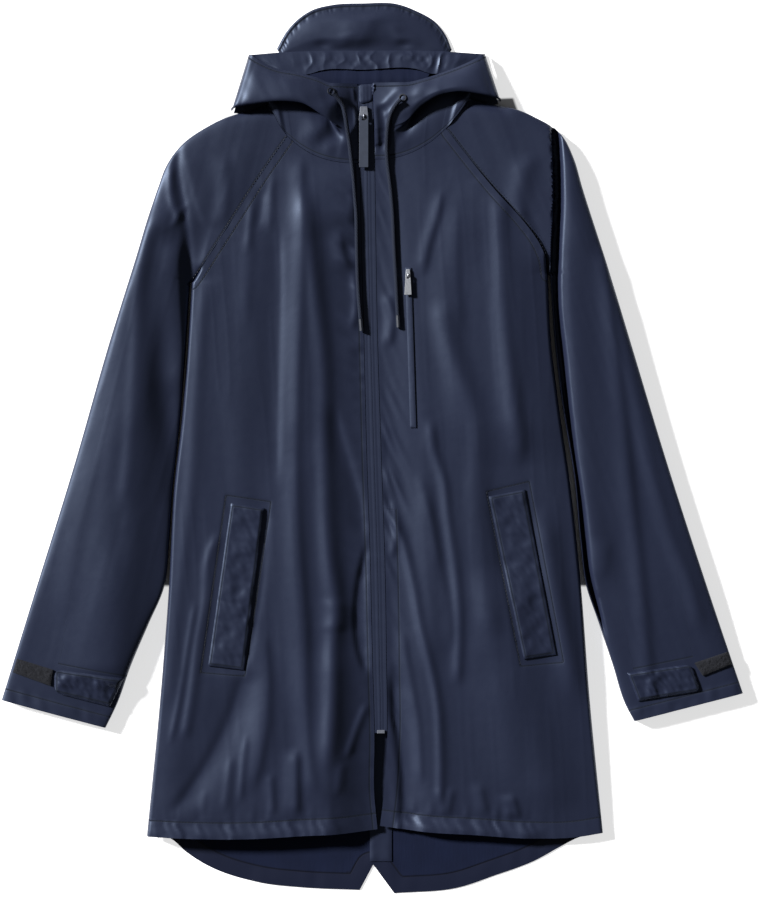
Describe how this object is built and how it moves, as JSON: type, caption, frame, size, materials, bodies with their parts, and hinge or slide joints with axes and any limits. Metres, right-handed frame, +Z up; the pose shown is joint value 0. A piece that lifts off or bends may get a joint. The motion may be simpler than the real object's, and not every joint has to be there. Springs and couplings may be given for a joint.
{
  "type": "hooded raincoat",
  "caption": "Hooded raincoat laid flat, with raglan sleeves, a front zip, welt pockets, a chest zip, a peaked hood with drawcords and a dipped back hem.",
  "frame": {"origin": "middle of the laid-out coat's outline, on the plane it rests on", "axes": "+X to the wearer's left, +Y from the hem towards the hood, +Z up from the surface the coat lies on; millimetre tables in the source, metres in the row"},
  "size_m": [0.874, 1.0537, 0.0332],
  "materials": {
    "coated_cloth": "dark navy coated cloth with a soft sheen",
    "cloth_wrong_side": "matte navy wrong side of the coated cloth",
    "zip_tape": "matte navy woven zip tape",
    "hook_and_loop": "near-black fuzzy hook-and-loop strip",
    "drawcord": "matte navy braided cord",
    "dark_metal": "dark satin metal",
    "pull_rubber": "dark moulded rubber"
  },
  "bodies": {
    "coat": {"back": "coated_cloth", "vent_facing": "coated_cloth", "front_right": "coated_cloth", "front_left": "coated_cloth", "sleeve_right": "coated_cloth", "sleeve_left": "coated_cloth", "hood_side_right": "coated_cloth", "hood_side_left": "coated_cloth", "hood_back": "coated_cloth", "hood_facing": "coated_cloth", "visor": "coated_cloth", "pocket_welt_right": "coated_cloth", "pocket_welt_left": "coated_cloth", "cuff_tab_right": "coated_cloth", "cuff_tab_left": "coated_cloth", "zip_garage": "coated_cloth", "neck_facing": "cloth_wrong_side", "zip_tape_right": "zip_tape", "zip_tape_left": "zip_tape", "chest_zip_tape": "zip_tape", "cuff_strip_right": "hook_and_loop", "cuff_strip_left": "hook_and_loop", "drawcord_right": "drawcord", "drawcord_left": "drawcord", "eyelet_right": "dark_metal", "eyelet_left": "dark_metal", "zip_stop": "dark_metal", "zip_slider": "dark_metal", "chest_zip_slider": "dark_metal", "cord_tip_right": "pull_rubber", "cord_tip_left": "pull_rubber"},
    "main_pull": {"zip_pull": "pull_rubber"},
    "chest_pull": {"chest_zip_pull": "dark_metal"}
  },
  "joints": [
    {"name": "main_pull_hinge", "type": "hinge", "parent": "coat", "child": "main_pull", "pos_m": [-0.009, 0.39012, 0.01939], "axis": [-1, 0, 0], "range_deg": [0, 150]},
    {"name": "chest_pull_hinge", "type": "hinge", "parent": "coat", "child": "chest_pull", "pos_m": [0.043, 0.2028, 0.02519], "axis": [-1, 0, 0], "range_deg": [0, 150]}
  ]
}
